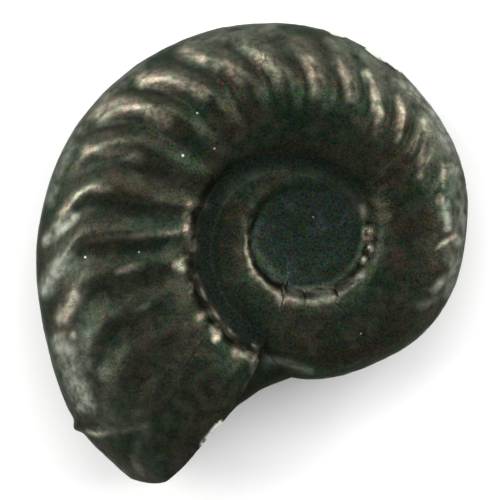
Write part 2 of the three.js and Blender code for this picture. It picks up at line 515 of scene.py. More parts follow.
@dataclass
class Shell:
    """The fossil's own mesh: five sheets of a spiral shell, joined into one closed surface."""

    coil: Coil = field(default_factory=Coil)
    lines: MeshLines = field(default_factory=MeshLines)
    lean_about_x: float = -2.0
    lean_about_y: float = 2.1
    shift: tuple[float, float, float] = (2.6214, 0.7834, 3.3899)
    merge_distance: float = 0.0004

    def sheet(self, joined: bmesh.types.BMesh, across: int, around: int, place: Place) -> None:
        """Adds a grid to the shell, with its points moved to where the sheet has them.

        Args:
            joined: The mesh that the sheet is added to.
            across: Number of faces across the sheet.
            around: Number of faces along it.
            place: Gives the points, shell angles, shares and sides from steps across and along.
        """
        made = bmesh.new()
        bmesh.ops.create_grid(made, x_segments=across, y_segments=around, size=0.5)
        mesh = bpy.data.meshes.new("sheet")
        made.to_mesh(mesh)
        made.free()
        flat = np.zeros(len(mesh.vertices) * 3)
        mesh.vertices.foreach_get("co", flat)
        steps = flat.reshape(-1, 3) + 0.5
        points, facts = place(np.rint(steps[:, 0] * across), np.rint(steps[:, 1] * around))
        mesh.vertices.foreach_set("co", points.ravel())
        for name, values in facts.items():
            mesh.attributes.new(name, "FLOAT", "POINT").data.foreach_set("value", values)
        joined.from_mesh(mesh)
        bpy.data.meshes.remove(mesh)

    def flank_points(self, angle: Array, row: Array, side: Side) -> Points:
        """Points of a flank, with what the relief needs to know of each.

        Args:
            angle: Angle of each point's mesh column.
            row: Row of each point, counted from the seam.
            side: The flank that the points are on.

        Returns:
            The points and their facts.
        """
        share = self.lines.row_share(angle, row, side, self.coil)
        points, turned = self.coil.place(angle, share, side)
        facts = {
            "shell_angle": turned,
            "shell_share": share,
            "shell_side": np.full(len(share), float(side.value)),
            "broken": np.zeros(len(share)),
        }
        return points, facts

    def last_whorl(self, joined: bmesh.types.BMesh) -> None:
        """Adds the last whorl, from the upper seam over the venter to the lower one.

        Args:
            joined: The mesh that it is added to.
        """
        upper, lower = (sum(self.lines.rows(side)) for side in Side)

        def place(step: Array, column: Array) -> Points:
            """The points at steps over the whorl and columns along it.

            Args:
                step: Steps from the upper seam.
                column: Columns from the start of the whorl.

            Returns:
                The points and their facts.
            """
            angle = self.lines.column_angle(column, self.coil)
            above = self.flank_points(angle, np.minimum(step, upper), Side.UPPER)
            below = self.flank_points(angle, np.minimum(upper + lower - step, lower), Side.LOWER)
            return self.pick(step <= upper, above, below)

        self.sheet(joined, upper + lower, self.lines.column_count(), place)

    @staticmethod
    def pick(first: Array, one: Points, other: Points) -> Points:
        """Takes each point from one set or from the other."""
        points = np.where(first[:, None], one[0], other[0])
        return points, {name: np.where(first, one[1][name], other[1][name]) for name in one[1]}

    def earlier_flank(self, joined: bmesh.types.BMesh, side: Side) -> None:
        """Adds the flank of the whorl before, as far as the last whorl leaves it open.

        Args:
            joined: The mesh that it is added to.
            side: Which flank it is.
        """
        covered = self.lines.rows(side)[0]

        def place(step: Array, column: Array) -> Points:
            """The points at steps out from the seam and columns along it."""
            angle = self.lines.column_angle(column, self.coil) - TURN
            return self.flank_points(angle, step, side)

        self.sheet(joined, covered, self.lines.column_count(), place)

    def middle(self, joined: bmesh.types.BMesh, side: Side) -> None:
        """Adds the filled middle: a fan out to the seam, opened at its last column.

        Args:
            joined: The mesh that it is added to.
            side: Which flank it is on.
        """
        covered = self.lines.rows(side)[0]
        count = self.lines.column_count()
        rings = covered // 2

        def place(step: Array, column: Array) -> Points:
            """The points at steps out from the axis and columns around it.

            Args:
                step: Steps from the axis.
                column: Columns around it.

            Returns:
                The points and their facts.
            """
            angle = self.lines.column_angle(column, self.coil) - TURN
            start = np.full(len(step), self.coil.start - TURN)
            angle = np.where(column < count, angle, start)
            seam, facts = self.flank_points(angle, np.zeros(len(step)), side)
            share = np.minimum(1.0, step / rings)
            fan = seam * share[:, None]
            fan[:, 2] = side.value * self.coil.fill_at(np.hypot(fan[:, 0], fan[:, 1]))
            opened = self.flank_points(start, np.maximum(step - rings, 0), side)
            return self.pick((step <= rings) | (column < count), (fan, facts), opened)

        self.sheet(joined, rings + covered, count, place)

    def broken_end(self, joined: bmesh.types.BMesh) -> None:
        """Adds the broken face, from the whorl's last column to the venter of the whorl before.

        Args:
            joined: The mesh that it is added to.
        """
        upper, lower = (sum(self.lines.rows(side)) for side in Side)

        def half(row: Array, inward: Array, side: Side) -> Points:
            """The half of the face that is on one side of the middle plane.

            Args:
                row: Rows, counted from the seam.
                inward: From 0 at the last column to 1 at the whorl before.
                side: Which half it is.

            Returns:
                The points and their facts.
            """
            covered, open_rows = self.lines.rows(side)
            last = covered + open_rows
            outer, facts = self.flank_points(np.full(len(row), self.coil.end), row, side)
            exact_row = covered + (last - covered) * row / last
            inner_row = exact_row + (np.rint(exact_row) - exact_row) * inward**8
            start = np.full(len(row), self.coil.start)
            inner, joined_to = self.flank_points(start, inner_row, side)
            points = outer + (inner - outer) * inward[:, None]
            back = np.stack([points[:, 1], -points[:, 0], np.zeros(len(row))], axis=-1)
            back /= np.maximum(np.linalg.norm(back, axis=1), 1e-9)[:, None]
            hollow = self.coil.end_hollow * np.sin(np.pi * inward**2) * row / last
            facts["broken"] = np.sin(np.pi * np.minimum(inward, 0.5))
            made = points + back * hollow[:, None], facts
            return self.pick(inward >= 1.0, (inner, joined_to), made)

        def place(step: Array, depth: Array) -> Points:
            """The points at steps over the face and depths into it.

            Args:
                step: Steps from the upper edge.
                depth: Steps from the last column.

            Returns:
                The points and their facts.
            """
            inward = depth / self.lines.end_rows
            above = half(np.minimum(step, upper), inward, Side.UPPER)
            below = half(np.minimum(upper + lower - step, lower), inward, Side.LOWER)
            return self.pick(step <= upper, above, below)

        self.sheet(joined, upper + lower, self.lines.end_rows, place)

    def join(self) -> bpy.types.Mesh:
        """Makes the sheets and joins them into one closed mesh, still unlaid.

        Returns:
            The mesh, in millimetres.
        """
        joined = bmesh.new()
        self.last_whorl(joined)
        for side in Side:
            self.earlier_flank(joined, side)
            self.middle(joined, side)
        self.broken_end(joined)
        bmesh.ops.remove_doubles(joined, verts=joined.verts, dist=self.merge_distance)
        bmesh.ops.dissolve_degenerate(joined, edges=joined.edges, dist=self.merge_distance)
        bmesh.ops.recalc_face_normals(joined, faces=joined.faces)
        open_edges = sum(1 for edge in joined.edges if len(edge.link_faces) != 2)
        log.info("shell joined: %d faces, %d open edges", len(joined.faces), open_edges)
        mesh = bpy.data.meshes.new("pyrite_ammonite")
        joined.to_mesh(mesh)
        joined.free()
        return mesh

    def laid(self, points: Array) -> Array:
        """Turns points to how the fossil lies, and moves them over the origin.

        Args:
            points: Points about the coiling axis.

        Returns:
            The same points in the part's frame, in millimetres.
        """
        x, y, z = points.T
        tilt = math.radians(self.lean_about_x)
        y, z = y * math.cos(tilt) - z * math.sin(tilt), y * math.sin(tilt) + z * math.cos(tilt)
        tilt = math.radians(self.lean_about_y)
        x, z = x * math.cos(tilt) + z * math.sin(tilt), z * math.cos(tilt) - x * math.sin(tilt)
        return np.stack([x, y, z], axis=-1) + self.shift


@dataclass(frozen=True)
class Stroke:
    """A line over the fossil, through pixels of the photograph."""

    pixels: tuple[tuple[float, float], ...]
    width: float

    def cover(self, points: Array) -> Array:
        """How near points are to the line, seen from above.

        Args:
            points: Points in the part's frame, in millimetres.

        Returns:
            From 0 away from the line to 1 on it.
        """
        corners = np.array([from_photo(*pixel) for pixel in self.pixels])
        nearest = np.full(len(points), np.inf)
        for start, stop in zip(corners[:-1], corners[1:]):
            along = stop - start
            share = np.clip((points[:, :2] - start) @ along / (along @ along), 0.0, 1.0)
            gap = points[:, :2] - start - share[:, None] * along
            nearest = np.minimum(nearest, np.hypot(gap[:, 0], gap[:, 1]))
        return hump(nearest, self.width)


@dataclass(frozen=True)
class Scar(Stroke):
    """A crack, an edge or a ridge: a line that changes the height."""

    height: float


@dataclass(frozen=True)
class Patch(Stroke):
    """A soft patch of shine, grey wear or crust, some of it painted highlight or painted
    reflection: the line along its middle.
    """

    strength: float


@dataclass(frozen=True)
class WearAndSheen:
    """Where the photograph shows a warm shine or grey wear, partly real wear and partly painted
    highlights and painted reflections; and where it is crusted.
    """

    # Warm shine on the ribs and rims: partly real rubbing, partly painted highlights.
    rubbed_and_sheen: tuple[Patch, ...] = (
        Patch(((144, 82), (160, 81), (176, 84), (200, 95)), 0.4, 0.8),
        Patch(((100, 114), (116, 105), (136, 108), (164, 121)), 0.38, 0.85),
        Patch(((88, 150), (110, 154), (138, 159)), 0.32, 0.6),
        Patch(((62, 216), (76, 197), (94, 189), (110, 190)), 0.2, 0.6),
        Patch(((186, 55), (202, 60)), 0.32, 0.7),
        Patch(((220, 68), (232, 72), (242, 80)), 0.34, 0.6),
        Patch(((244, 49), (262, 62), (276, 76)), 0.36, 0.6),
        Patch(((309, 62), (313, 76)), 0.34, 0.7),
        Patch(((313, 76), (316, 96)), 0.3, 0.3),
        Patch(((336, 64), (346, 82)), 0.22, 1.0),
        Patch(((346, 82), (350, 100)), 0.22, 0.4),
        Patch(((366, 75), (372, 92), (378, 114)), 0.24, 1.0),
        Patch(((378, 114), (374, 136)), 0.2, 0.4),
        Patch(((397, 98), (401, 114), (397, 140)), 0.2, 0.9),
        Patch(((424, 122), (427, 133)), 0.28, 0.8),
        Patch(((424, 136), (418, 178)), 0.2, 0.45),
        Patch(((442, 166), (442, 186)), 0.14, 0.4),
        # Painted glints: small bright highlights on the east rim.
        Patch(((438, 198), (441, 200)), 0.15, 0.9),
        Patch(((437, 246), (446, 241), (454, 236)), 0.11, 1.6),
        Patch(((122, 271), (140, 266)), 0.2, 0.3),
        Patch(((96, 240), (130, 236), (180, 233)), 0.2, 0.22),
        Patch(((140, 308), (148, 304)), 0.2, 0.25),
        Patch(((65, 316), (72, 305), (77, 298)), 0.34, 1.3),
    )
    # Grey patches on the rims and ring: partly real wear, partly painted reflection and painted
    # highlight.
    worn: tuple[Patch, ...] = (
        Patch(((50, 240), (62, 228), (76, 215)), 0.3, 1.3),
        Patch(((48, 289), (56, 272), (71, 256)), 0.38, 1.4),
        Patch(((64, 318), (72, 305), (78, 297)), 0.36, 0.4),
        Patch(((65, 344), (76, 372), (88, 402)), 0.6, 0.85),
        Patch(((290, 292), (306, 295), (330, 291)), 0.24, 0.5),
        Patch(
            ((362, 210), (350, 195), (330, 178), (290, 170), (265, 171), (235, 185), (222, 203)),
            0.3, 0.08,
        ),
        Patch(((338, 289), (348, 281), (358, 272)), 0.24, 0.35),
        Patch(((90, 360), (104, 372)), 0.4, 0.25),
        Patch(((44, 200), (50, 190)), 0.3, 0.3),
        Patch(((445, 205), (447, 226)), 0.24, 1.2),
        Patch(((447, 250), (452, 266)), 0.28, 0.7),
        Patch(((433, 291), (447, 275)), 0.22, 1.0),
        Patch(((420, 306), (434, 297)), 0.26, 0.4),
        Patch(((180, 50), (228, 36), (270, 30)), 0.5, 0.3),
        Patch(((75, 140), (105, 98), (140, 68)), 0.4, 0.3),
        Patch(((52, 200), (60, 172), (75, 140)), 0.35, 0.4),
        Patch(((332, 42), (366, 57), (398, 80)), 0.45, 0.3),
        Patch(((398, 80), (422, 100), (441, 130), (455, 172)), 0.5, 0.65),
        Patch(((455, 172), (460, 215), (457, 262), (446, 290)), 0.4, 0.5),
        Patch(((252, 362), (256, 378), (248, 398)), 0.16, 0.3),
        Patch(((266, 358), (290, 362), (310, 370)), 0.2, 0.3),
        Patch(((138, 442), (136, 460), (142, 472)), 0.3, 0.16),
    )
    # Pale lines and spots on the umbilical edge, nodes, knots and ring: painted highlights, partly
    # real rubbing.
    edges: tuple[Patch, ...] = (
        Patch(((195, 276), (205, 300), (219, 320), (229, 331), (240, 344)), 0.12, 0.85),
        Patch(((236, 349), (246, 351), (253, 350)), 0.22, 0.6),
        Patch(((253, 345), (258, 350), (254, 356)), 0.1, 0.7),
        Patch(((215, 326), (218, 336)), 0.17, 1.6),
        Patch(((200, 316), (208, 312)), 0.18, 0.35),
        Patch(((58, 336), (66, 333), (76, 334)), 0.15, 0.8),
        Patch(((90, 430), (98, 432), (110, 431)), 0.15, 0.6),
        Patch(((110, 431), (135, 426), (154, 420)), 0.15, 0.2),
        Patch(((187, 215), (190, 222)), 0.16, 0.5),
        Patch(((189, 228), (191, 240), (192, 248)), 0.2, 1.1),
        Patch(((181, 264), (185, 267)), 0.2, 1.8),
        Patch(((192, 206), (198, 210)), 0.22, 0.35),
        Patch(((190, 250), (192, 290)), 0.12, 0.35),
        Patch(((248, 236), (247, 250), (252, 270)), 0.14, 0.5),
        Patch(((253, 272), (266, 287), (280, 296)), 0.2, 0.5),
        Patch(((280, 297), (304, 300), (332, 296)), 0.3, 0.42),
        Patch(((336, 292), (346, 284), (358, 276)), 0.24, 0.35),
        Patch(((367, 229), (368, 237)), 0.2, 1.0),
        Patch(((368, 245), (368, 249)), 0.15, 1.4),
        Patch(((363, 258), (362, 262)), 0.14, 1.2),
        Patch(((362, 206), (365, 222)), 0.14, 0.3),
    )
    crusts: tuple[Patch, ...] = (
        Patch(((301, 23), (313, 24), (326, 28), (340, 36)), 0.3, 1.0),
        Patch(((371, 50), (384, 57), (397, 69)), 0.34, 1.0),
        Patch(((221, 421), (212, 432), (203, 444)), 0.24, 0.9),
    )

    @staticmethod
    def most(patches: tuple[Patch, ...], points: Array) -> Array:
        """The strongest of some patches at each point.

        Args:
            patches: The patches.
            points: Points in the part's frame, in millimetres.

        Returns:
            The strength at each point.
        """
        total = np.zeros(len(points))
        for patch in patches:
            total = np.maximum(total, patch.strength * patch.cover(points))
        return total


@dataclass(frozen=True)
class Relief:
    """The fine relief on the shell: rim, nodes, cracks, the broken edge and the grain."""

    rim_radius: Law = Law(
        (
            (-215, 2.8), (-190, 2.92), (-176, 3.0), (-144, 3.18), (-126, 3.25), (-108, 3.3),
            (-88, 3.32), (-60, 3.46), (-41, 3.58),
            (-3, 3.64), (30, 3.78), (68, 3.9), (92, 4.15), (123, 4.82), (153, 5.42), (173, 5.74),
            (182, 5.95), (202, 6.24), (221, 6.45), (240, 6.62), (250, 6.72),
        )
    )
    rim_height: Law = Law(
        (
            (-225, 0), (-190, 0.05), (-120, 0.1), (-60, 0.11), (-20, 0.07), (0, 0.06), (30, 0.04),
            (60, 0.0), (205, 0.0), (218, 0.05), (250, 0.06),
        ),
        straight=True,
    )
    rim_width: Law = Law(
        ((-190, 0.15), (-140, 0.2), (-110, 0.38), (-60, 0.4), (-30, 0.26), (60, 0.16), (250, 0.15))
    )
    # Painted highlight on the umbilical ring, strongest where it faces north, partly real polish.
    ring_rub_and_sheen: Law = Law(
        (
            (-195, 0.0), (-178, 0.12), (-150, 0.2), (-90, 0.3), (-50, 0.25), (-35, 0.1),
            (0, 0.12), (25, 0.06), (45, 0.0), (150, 0.0), (175, 0.12), (250, 0.2),
        ),
        straight=True,
    )
    nodes: tuple[float, ...] = (163, 178, 191, 204, 217, 228)
    node_height: float = 0.14
    node_width: float = 0.26
    node_off_rim: float = 0.1
    node_stretch: float = 0.7
    knots: tuple[tuple[float, float], ...] = ((368, 232), (368, 247), (362, 259), (250, 268))
    knot_height: float = 0.05
    knot_width: float = 0.13
    scars: tuple[Scar, ...] = (
        Scar(((281, 288), (283, 297), (281, 306)), 0.05, -0.08),
        Scar(((303, 291), (305, 299), (303, 308)), 0.05, -0.06),
        Scar(((333, 288), (337, 295), (334, 304)), 0.05, -0.09),
        Scar(((335, 303), (343, 309), (347, 317)), 0.03, -0.02),
        Scar(((150, 426), (141, 440), (138, 460), (142, 472)), 0.24, 0.025),
        Scar(((256, 353), (257, 368), (250, 388), (244, 402)), 0.14, 0.06),
        Scar(((262, 354), (284, 361), (306, 367)), 0.16, 0.05),
    )
    lip_back: float = 0.12
    lip_width: float = 0.24
    lip_from: Stretch = (7.6, 8.6)
    lip_height: float = 0.02
    outgrowth: tuple[float, float] = (78, 426)
    outgrowth_height: float = 0.26
    outgrowth_width: float = 0.3
    crust_height: float = 0.05
    side_crust: Band = ((3.0, 3.3), (3.7, 4.1))
    mouth_crust: Stretch = (4.8, 5.5)
    crust_raggedness: Mottle = Mottle(0.0, 0.4, 0.9, 3)
    swells: Mottle = Mottle(0.0, 0.035, 2.6, 3)
    pitting: Mottle = Mottle(0.0, 0.014, 0.42, 2)
    pitting_at_break: float = 1.5
    rim_mottle: Mottle = Mottle(0.7, 0.8, 0.5)
    lip_mottle: Mottle = Mottle(0.7, 0.9, 0.9)
    basin_middle: tuple[float, float] = (306, 240)
    basin_radius: float = 3.3
    # Warm painted highlights on the rib crests near the outer edge, partly real rubbing.
    rib_rub_and_sheen: Law = Law(
        (
            (-70, 0.0), (5, 0.03), (30, 0.2), (100, 0.2), (150, 0.2), (165, 0.1), (225, 0.05),
            (232, 0.0),
        ),
        straight=True,
    )
    # Pale grey along the west rim: painted reflection, partly real wear.
    west_wear_and_sheen: Law = Law(
        (
            (40, 0.0), (60, 0.12), (112, 0.1), (135, 0.12), (160, 0.12), (178, 0.15), (205, 0.18),
            (225, 0.2), (234, 0.1), (250, 0.0),
        ),
        straight=True,
    )
    # Painted shade in the west rib furrows and a painted highlight line on their crests.
    west_rib_shading: Law = Law(((148, 0.0), (158, 0.8), (205, 0.8), (222, 0.0)), True)
    mouth_shade: float = 0.35
    # Pale grey along the east rim: painted reflection, partly real wear.
    east_wear_and_sheen: Law = Law(((-48, 0.0), (-22, 0.1), (12, 0.15), (60, 0.1), (90, 0.0)), True)
    nets: tuple[tuple[float, float, float], ...] = (
        (76, 400, 26), (66, 370, 14), (95, 425, 14), (262, 66, 18), (418, 98, 20), (440, 128, 20),
        (452, 165, 16),
    )

    def rim(self, angle: Array, radius: Array) -> Array:
        """The raised rim of the umbilicus, from 0 to 1."""
        off = (radius - self.rim_radius.at(angle)) / self.rim_width.at(angle)
        return np.exp(-(off**4))

    def at_nodes(self, angle: Array, radius: Array) -> Array:
        """The small nodes that the ribs start in.

        Args:
            angle: Angles along the shell, in degrees.
            radius: Distances from the coiling axis.

        Returns:
            From 0 off the nodes to 1 on one.
        """
        total = np.zeros(len(angle))
        for node in self.nodes:
            gap = np.radians(angle - node) * radius
            off = radius - self.rim_radius.at(np.array([float(node)]))[0] - self.node_off_rim
            total += hump(np.hypot(gap, self.node_stretch * off), self.node_width)
        return total

    @staticmethod
    def spots(points: Array, pixels: tuple[tuple[float, ...], ...], width: float) -> Array:
        """Small round spots at pixels of the photograph.

        Args:
            points: Points in the part's frame, in millimetres.
            pixels: The middle of each spot, and its reach in pixels where it has its own.
            width: Reach of the others, in millimetres.

        Returns:
            From 0 off the spots to 1 in the middle of one.
        """
        total = np.zeros(len(points))
        for pixel in pixels:
            x, y = from_photo(*pixel[:2])
            reach = pixel[2] * PIXEL if len(pixel) > 2 else width
            total = np.maximum(total, hump(np.hypot(points[:, 0] - x, points[:, 1] - y), reach))
        return total


class Surroundings:
    """Which points of a mesh are joined by an edge, to average over them."""

    def __init__(self, mesh: bpy.types.Mesh) -> None:
        """Reads the edges of the mesh.

        Args:
            mesh: The mesh.
        """
        ends = np.zeros(len(mesh.edges) * 2, int)
        mesh.edges.foreach_get("vertices", ends)
        one, other = ends.reshape(-1, 2).T
        self.near, self.far = np.concatenate([one, other]), np.concatenate([other, one])
        self.count = np.maximum(np.bincount(self.near, minlength=len(mesh.vertices)), 1)

    def smoothed(self, points: Array, passes: int, amount: Array) -> Array:
        """Points drawn towards the middle of their neighbours, again and again.

        Args:
            points: The points of the mesh.
            passes: How many times they are drawn.
            amount: How far each one is drawn, from 0 to 1.

        Returns:
            The smoothed points.
        """
        for _ in range(passes):
            sums = [np.bincount(self.near, part[self.far], len(part)) for part in points.T]
            mean = np.stack(sums, axis=-1) / self.count[:, None]
            points = points + amount[:, None] * (mean - points)
        return points


@dataclass
class Skin:
    """What the carving knows of each point of the mesh: where it is and what stands there."""

    angle: Array
    share: Array
    radius: Array
    upper: Array
    off_end: Array
    broken: Array
    soft: Array
    rim: Array
    nodes: Array
    lip: Array
    crack: Array
    crust: Array


@dataclass
class Carving:
    """Works the fine relief into the laid mesh and notes wear, crust, painted shade and painted
    highlights.
    """

    shell: Shell
    relief: Relief = field(default_factory=Relief)
    wear: WearAndSheen = field(default_factory=WearAndSheen)
    facts: tuple[str, ...] = ("shell_angle", "shell_share", "shell_side", "broken")
    upper_slope: float = 0.05
    curvature_passes: int = 24
    curvature_height: float = 0.05
    seam_passes: int = 30
    seam_reach: float = 0.4
    seam_hard: Stretch = (234.0, 245.0)
    start_reach: float = 0.3
    start_hard: Stretch = (3.3, 3.8)
    basin_soft: Stretch = (2.7, 3.1)
    basin_level: float = 2.6
    basin_blend: float = 0.2
    basin_share: float = 0.72
    break_edge: Stretch = (0.0, 0.4)
    wall: Band = ((-0.75, -0.35), (0.2, 0.6))
    wall_from: Stretch = (0.0, 40.0)
    furrows: Band = ((0.06, 0.16), (0.7, 0.86))
    mouth_shade_from: Stretch = (185.0, 215.0)
    rib_patch: Band = ((0.5, 0.66), (0.84, 0.97))
    rib_mottle: Mottle = Mottle(0.7, 0.45, 1.3)
    ring_mottle: Mottle = Mottle(0.8, 0.7, 0.7)
    # These three set a painted highlight line on the west rib crests.
    crest_line: Band = ((0.1, 0.3), (0.6, 0.8))
    line_mottle: Mottle = Mottle(0.6, 0.8, 0.9)
    painted_crest_line: float = 0.16
    # Painted highlight on the nodes, partly real rubbing.
    node_rub_and_sheen: float = 0.2
    lip_rub: float = 0.04
    rub_and_sheen_in_furrows: float = 0.45
    tears: Mottle = Mottle(0.9, 0.75, 0.55, 2)
    tear_limits: Stretch = (0.15, 1.3)
    west_band: Band = ((0.64, 0.8), (0.92, 1.0))
    east_band: Band = ((0.7, 0.82), (0.9, 0.98))
    worn_mottle: Mottle = Mottle(0.75, 0.7, 1.5, 2)
    worn_in_furrows: float = 0.55
    grain: Grain = field(default_factory=lambda: Grain(11))
    coarse: Grain = field(default_factory=lambda: Grain(12))

    def carve(self, mesh: bpy.types.Mesh) -> None:
        """Moves the points of the mesh, and gives it the attributes that its finish reads.

        Args:
            mesh: The joined shell, in millimetres and unlaid.
        """
        points = self.read(mesh.vertices, "co", 3)
        angle, share, side, broken = (
            self.read(mesh.attributes[name].data, "value", 1).ravel() for name in self.facts
        )
        radius = np.hypot(points[:, 0], points[:, 1])
        around = Surroundings(mesh)
        soft = self.soft_at(angle, radius, broken)
        laid = around.smoothed(self.shell.laid(points), self.seam_passes, soft)
        for flank in Side:
            laid = self.levelled(laid, radius, side == flank.value)
        self.write(mesh, laid)
        normals = self.read(mesh.vertex_normals, "vector", 3)
        upper = (normals[:, 2] > self.upper_slope).astype(float)
        skin = self.skin(laid, (angle, share, radius, upper), broken, soft)
        laid = laid + normals * self.height(laid, skin)[:, None]
        laid[:, 2] = np.maximum(laid[:, 2], 0.0)
        laid = self.fitted(laid)
        self.write(mesh, laid)
        notes = self.shade_notes(laid, skin, self.bulge(mesh, around, laid))
        # Shine and grey masks: partly real wear, partly painted highlights and painted
        # reflections.
        notes["rub_and_sheen"] = self.rub_and_sheen(laid, skin)
        notes["worn"] = self.worn(laid, skin)
        for name, values in notes.items():
            mesh.attributes.new(name, "FLOAT", "POINT").data.foreach_set("value", values)
        for name in self.facts:
            mesh.attributes.remove(mesh.attributes[name])

    def skin(
        self, laid: Array, place: tuple[Array, Array, Array, Array], broken: Array, soft: Array
    ) -> Skin:
        """Finds what stands at each point.

        Args:
            laid: The points, in the part's frame.
            place: The angle, share and radius of each one, and 1 where it is on the upper side.
            broken: How far each one is inside the broken face.
            soft: How far each one was smoothed.

        Returns:
            The facts of the points.
        """
        angle, _, radius, upper = place
        relief = self.relief
        off_end = 1.0 - smoothstep(broken, *self.break_edge)
        before = self.shell.coil.past_break(angle, radius) + relief.lip_back
        lip = hump(before, relief.lip_width) * smoothstep(radius, *relief.lip_from)
        covers = [scar.cover(laid) * upper for scar in relief.scars if scar.height < 0.0]
        level = laid[:, 2] + relief.crust_raggedness.at(self.coarse, laid)
        on_edge = band(level, *relief.side_crust)
        on_mouth = smoothstep(level, *relief.mouth_crust)
        crust = self.wear.most(self.wear.crusts, laid)
        return Skin(
            *place,
            off_end=off_end,
            broken=broken,
            soft=soft,
            rim=relief.rim(angle, radius) * off_end,
            nodes=relief.at_nodes(angle, radius) * off_end,
            lip=lip * (angle > self.shell.coil.mouth_from) * off_end,
            crack=np.max(covers, axis=0),
            crust=crust * np.where(laid[:, 1] > 0.0, on_edge, on_mouth),
        )

    def height(self, laid: Array, skin: Skin) -> Array:
        """How far the fine relief stands out.

        Args:
            laid: The points, in the part's frame.
            skin: The facts of the points.

        Returns:
            The height at each point, in millimetres.
        """
        relief, coarse = self.relief, self.coarse
        unevenness = relief.rim_mottle.at(coarse, laid)
        height = skin.rim * relief.rim_height.at(skin.angle) * unevenness
        height += relief.node_height * skin.nodes
        height += relief.lip_height * skin.lip * relief.lip_mottle.at(coarse, laid)
        for scar in relief.scars:
            height += scar.height * scar.cover(laid) * skin.upper
        knots = relief.spots(laid, relief.knots, relief.knot_width)
        height += relief.knot_height * knots * skin.upper
        outgrowth = relief.spots(laid, (relief.outgrowth,), relief.outgrowth_width)
        height += relief.outgrowth_height * outgrowth
        height += relief.crust_height * skin.crust
        height += relief.swells.at(coarse, laid)
        pitting = relief.pitting.at(self.grain, laid)
        return height + pitting * (1.0 + relief.pitting_at_break * skin.broken)

    def shade_notes(self, laid: Array, skin: Skin, bulge: Array) -> Facts:
        """Notes painted shade in hollows, furrows and by the mouth, painted fill light on the seam
        wall, and crust, cracks and fill.

        Args:
            laid: The carved points, in the part's frame.
            skin: The facts of the points.
            bulge: How far each one stands out of its surroundings.

        Returns:
            A number from 0 to 1 for each point, by the name of its attribute.
        """
        coil, relief = self.shell.coil, self.relief
        seam_angle = self.seam_angle(skin.angle)
        # The seam wall band: its colour is painted lighter, as fill light in its shade.
        wall = band(skin.radius - coil.seam.at(seam_angle), *self.wall)
        wall *= smoothstep(seam_angle, *self.wall_from) * skin.off_end
        upright = skin.angle - coil.lean_at(skin.angle, skin.share)
        crest = coil.rib_crest(skin.angle, skin.share) * skin.off_end
        # Painted shade in the furrows between the west ribs.
        furrow_shade = relief.west_rib_shading.at(upright) * (1.0 - crest) ** 2
        furrow_shade *= band(skin.share, *self.furrows) * skin.off_end
        # Painted shade near the mouth.
        near_mouth = smoothstep(skin.angle, *self.mouth_shade_from) * skin.upper
        near_mouth *= relief.mouth_shade
        # Painted shade in concave places, the west rib furrows and near the mouth; taken off the
        # seam wall.
        hollow = np.maximum(np.maximum(np.clip(-bulge, 0.0, 1.0), furrow_shade), near_mouth)
        x, y = from_photo(*relief.basin_middle)
        from_middle = np.hypot(laid[:, 0] - x, laid[:, 1] - y)
        edge = relief.basin_radius
        basin = 1.0 - smoothstep(from_middle, self.basin_share * edge, edge)
        return {
            "wear": np.clip(bulge, 0.0, 1.0),
            "seam": wall,
            "hollow": hollow * (1.0 - np.maximum(skin.soft, wall)),
            "crust": skin.crust,
            "crack": skin.crack,
            "basin": basin * skin.upper,
            "upper": skin.upper,
            "net": relief.spots(laid, relief.nets, 1.0) * skin.upper,
        }

    def torn(self, laid: Array) -> Array:
        """Uneven strength for the patches, so that their edges look torn."""
        return np.clip(self.tears.at(self.grain, laid), *self.tear_limits)

    def rub_and_sheen(self, laid: Array, skin: Skin) -> Array:
        """How much each point shines warm: partly real rubbing, partly painted highlight.

        Args:
            laid: The carved points, in the part's frame.
            skin: The facts of the points.

        Returns:
            From 0, not at all, to 1.
        """
        coil, relief, coarse = self.shell.coil, self.relief, self.coarse
        upright = skin.angle - coil.lean_at(skin.angle, skin.share)
        crest = coil.rib_crest(skin.angle, skin.share) * skin.off_end
        patch = band(skin.share, *self.rib_patch) * self.rib_mottle.at(coarse, laid)
        ribs = relief.rib_rub_and_sheen.at(upright) * crest * patch
        ring = skin.rim * relief.ring_rub_and_sheen.at(skin.angle) * self.ring_mottle.at(coarse, laid)
        # Painted highlight line on the west rib crests.
        line = relief.west_rib_shading.at(upright) * crest**5 * band(skin.share, *self.crest_line)
        line *= self.painted_crest_line * self.line_mottle.at(coarse, laid)
        spots = self.node_rub_and_sheen * skin.nodes + self.lip_rub * skin.lip
        rub_and_sheen = np.maximum(ribs, ring + spots + line)
        on_ribs = self.rub_and_sheen_in_furrows + (1.0 - self.rub_and_sheen_in_furrows) * crest
        warm = self.wear.most(self.wear.rubbed_and_sheen, laid) * on_ribs
        warm = np.maximum(warm, self.wear.most(self.wear.edges, laid))
        return np.clip(np.maximum(rub_and_sheen, warm * self.torn(laid) * skin.upper), 0.0, 1.0)

    def worn(self, laid: Array, skin: Skin) -> Array:
        """How much each point is grey: partly real wear, partly painted reflection on the rims.

        Args:
            laid: The carved points, in the part's frame.
            skin: The facts of the points.

        Returns:
            From 0, not at all, to 1.
        """
        relief = self.relief
        crest = self.shell.coil.rib_crest(skin.angle, skin.share) * skin.off_end
        worn = np.maximum(
            relief.west_wear_and_sheen.at(skin.angle) * band(skin.share, *self.west_band),
            relief.east_wear_and_sheen.at(skin.angle) * band(skin.share, *self.east_band),
        )
        worn *= self.worn_in_furrows + (1.0 - self.worn_in_furrows) * crest
        worn *= self.worn_mottle.at(self.coarse, laid)
        patches = self.wear.most(self.wear.worn, laid) * self.torn(laid) * skin.upper
        return np.clip(np.maximum(worn, patches) * skin.off_end, 0.0, 1.0)

    def seam_angle(self, angle: Array) -> Array:
        """The angle of the seam that lies over a place, on the last whorl or the one before."""
        return np.where(angle < self.shell.coil.start, angle + TURN, angle)

